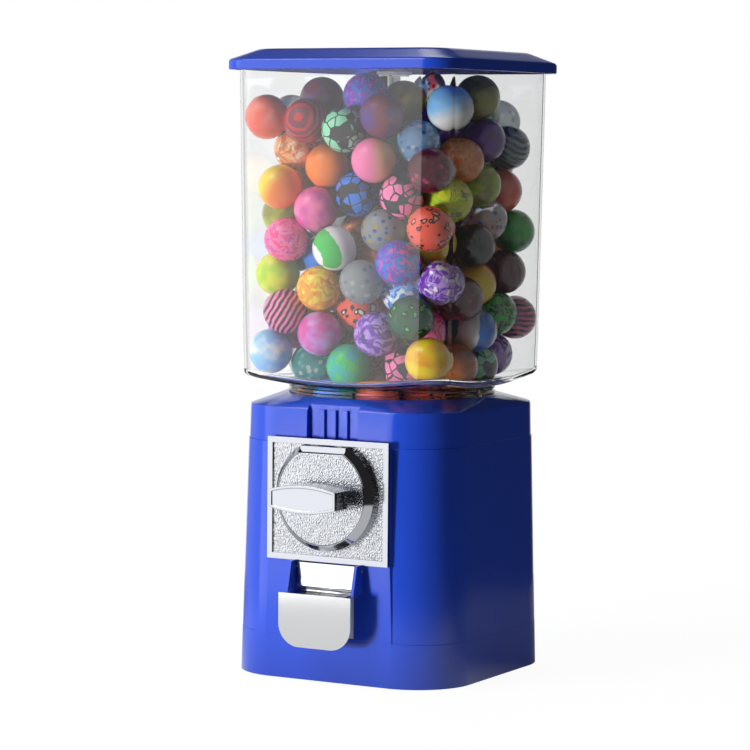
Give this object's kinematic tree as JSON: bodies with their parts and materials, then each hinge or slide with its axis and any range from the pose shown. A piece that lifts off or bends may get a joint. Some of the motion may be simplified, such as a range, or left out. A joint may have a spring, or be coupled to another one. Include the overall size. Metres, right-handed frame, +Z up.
{
  "type": "gumball machine",
  "caption": "Desktop ball vending machine: clear square globe of bouncy balls on a blue body with a chrome coin crank, pocket wheel, chute and hinged flap.",
  "frame": {"origin": "on the table, under the middle of the base", "axes": "+Z up, front of the machine faces -Y, +X to the right as seen from the front"},
  "size_m": [0.1626, 0.1929, 0.3932],
  "materials": {
    "blue_shell": "glossy",
    "clear_globe": "glossy, clear",
    "chrome_plate": "plated, with a fine pebble grain on the flat fields",
    "stainless": "polished",
    "zinc_casting": "as cast",
    "galvanised_sheet": "satin",
    "steel": "zinc plated",
    "brass": "machined",
    "rubber": "matt",
    "white_moulding": "moulded",
    "ball_stock": "glossy bouncy rubber in mixed colours and patterns"
  },
  "bodies": {
    "machine": {"base_shell": "blue_shell", "rubber_feet": "rubber", "main_housing": "blue_shell", "top_cap": "blue_shell", "base_screws": "steel", "cap_screws": "steel", "coin_box": "galvanised_sheet", "centre_rod": "steel", "rod_nut": "steel", "wheel_housing": "white_moulding", "wheel_bush": "brass", "hub_nut": "steel", "ball_guard": "white_moulding", "product_chute": "white_moulding", "globe_gasket": "rubber", "globe": "clear_globe", "mech_faceplate": "chrome_plate", "coin_slot_bar": "chrome_plate", "mech_housing": "zinc_casting", "mech_screws": "steel", "pawl_pin": "steel", "pawl_spring": "steel", "door_hinge_pin": "steel", "globe_balls_1": "ball_stock", "globe_balls_2": "ball_stock", "globe_balls_3": "ball_stock", "globe_balls_4": "ball_stock", "globe_balls_5": "ball_stock", "globe_balls_6": "ball_stock", "globe_balls_7": "ball_stock", "globe_balls_8": "ball_stock"},
    "crank": {"dial_disc": "chrome_plate", "coin_carrier": "zinc_casting", "handle": "chrome_plate", "crank_shaft": "steel", "ratchet_wheel": "steel", "drive_gear": "brass", "shaft_clip": "steel"},
    "wheel": {"ball_wheel": "white_moulding", "wheel_balls": "ball_stock"},
    "pawl": {"ratchet_pawl": "steel"},
    "door": {"chute_door": "stainless"},
    "lid": {"lid": "blue_shell", "lock_body": "chrome_plate", "lock_nut": "steel"},
    "lock_core": {"lock_cylinder": "steel"}
  },
  "joints": [
    {"name": "crank_turn", "type": "hinge", "parent": "machine", "child": "crank", "pos_m": [0, -0.08, 0.1175], "axis": [0, 1, 0], "continuous": true},
    {"name": "wheel_turn", "type": "hinge", "parent": "machine", "child": "wheel", "pos_m": [0, 0, 0.14], "axis": [0, 0, 1], "continuous": true},
    {"name": "pawl_lift", "type": "hinge", "parent": "machine", "child": "pawl", "pos_m": [0.0205, -0.0728, 0.1045], "axis": [0, -1, 0], "range_deg": [0, 10], "stiffness_Nm_per_rad": 0.002, "springref_deg": -17.19},
    {"name": "door_swing", "type": "hinge", "parent": "machine", "child": "door", "pos_m": [0, -0.0794, 0.0718], "axis": [-1, 0, 0], "range_deg": [0, 70]},
    {"name": "lid_lift", "type": "slide", "parent": "machine", "child": "lid", "axis": [0, 0, 1], "range_m": [0, 0.06]},
    {"name": "lock_turn", "type": "hinge", "parent": "lid", "child": "lock_core", "pos_m": [0, 0, 0.39], "axis": [0, 0, 1], "range_deg": [0, 90]}
  ],
  "couplings": [
    {"joint": "wheel_turn", "follows": "crank_turn", "ratio": 0.16667}
  ]
}
